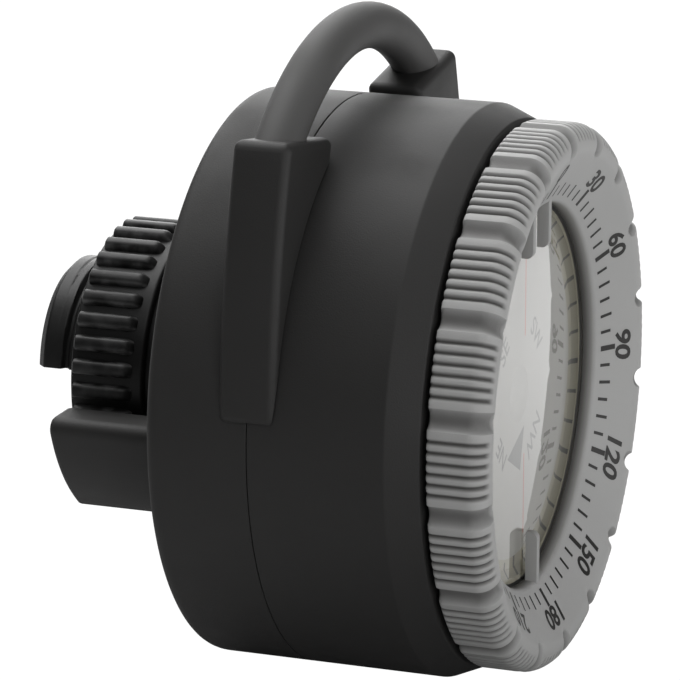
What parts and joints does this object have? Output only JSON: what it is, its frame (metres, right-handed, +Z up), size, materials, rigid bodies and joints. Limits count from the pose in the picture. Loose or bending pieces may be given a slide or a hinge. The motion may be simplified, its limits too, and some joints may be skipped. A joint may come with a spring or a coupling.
{
  "type": "diving compass",
  "caption": "Round diving compass with a turning grip bezel and a floating card, docked on a cord retractor with a carry loop and a screw clamp for a strap.",
  "frame": {"origin": "on the compass axis, at the rear case's flat mount face", "axes": "+Z up to the loop, -Y the way the dial looks, +Y along the clamp spigot"},
  "size_m": [0.0708, 0.0646, 0.0812],
  "materials": {
    "shell_rubber": "matte soft-touch black",
    "loop_rubber": "matte black",
    "clamp_plastic": "satin black",
    "inner_plastic": "matte dark grey",
    "bezel_grey": "satin mid grey",
    "card_white": "matte white",
    "window_clear": "clear polished",
    "seal_rubber": "soft matte",
    "steel": "plain steel",
    "brass": "plain brass",
    "cord": "braided black"
  },
  "bodies": {
    "case": {"rear_case": "shell_rubber", "carry_loop": "loop_rubber", "strap_saddle": "shell_rubber", "threaded_spigot": "clamp_plastic", "reel_axle": "steel", "mainspring": "steel", "reel_cover": "inner_plastic", "cover_screws": "steel", "cord_eyelet": "brass", "cord_lead": "cord"},
    "reel": {"cord_reel": "inner_plastic", "wound_cord": "cord"},
    "washer": {"clamp_washer": "clamp_plastic"},
    "nut": {"clamp_nut": "clamp_plastic"},
    "module": {"front_boot": "shell_rubber", "cord_anchor": "steel", "capsule_body": "inner_plastic", "window_seal": "seal_rubber", "window": "window_clear", "diaphragm": "seal_rubber", "diaphragm_ring": "steel", "fill_plug": "steel", "pivot_post": "card_white", "pivot_needle": "steel"},
    "card": {"compass_card": "card_white", "card_hub": "card_white", "card_magnets": "steel"},
    "bezel": {"bezel": "bezel_grey", "bezel_snap_ring": "steel"}
  },
  "joints": [
    {"name": "compass_pull", "type": "slide", "parent": "case", "child": "module", "axis": [0, -1, 0], "range_m": [0, 0.3], "stiffness_N_per_m": 4, "springref_m": -0.5},
    {"name": "reel_turn", "type": "hinge", "parent": "case", "child": "reel", "pos_m": [0, -0.0074, 0], "axis": [0, 1, 0], "range_deg": [-5, 770]},
    {"name": "bezel_turn", "type": "hinge", "parent": "module", "child": "bezel", "pos_m": [0, -0.0352, 0], "axis": [0, -1, 0], "continuous": true},
    {"name": "card_turn", "type": "hinge", "parent": "module", "child": "card", "pos_m": [0, -0.0322, 0], "axis": [0, -1, 0], "continuous": true},
    {"name": "clamp_travel", "type": "slide", "parent": "case", "child": "washer", "axis": [0, 1, 0], "range_m": [-0.005, 0.005]},
    {"name": "nut_turn", "type": "hinge", "parent": "washer", "child": "nut", "pos_m": [0, 0.0123, 0], "axis": [0, 1, 0], "range_deg": [-905, 905]}
  ],
  "couplings": [
    {"joint": "reel_turn", "follows": "compass_pull", "rad_per_m": 43.956},
    {"joint": "nut_turn", "follows": "clamp_travel", "rad_per_m": 3141.6}
  ]
}
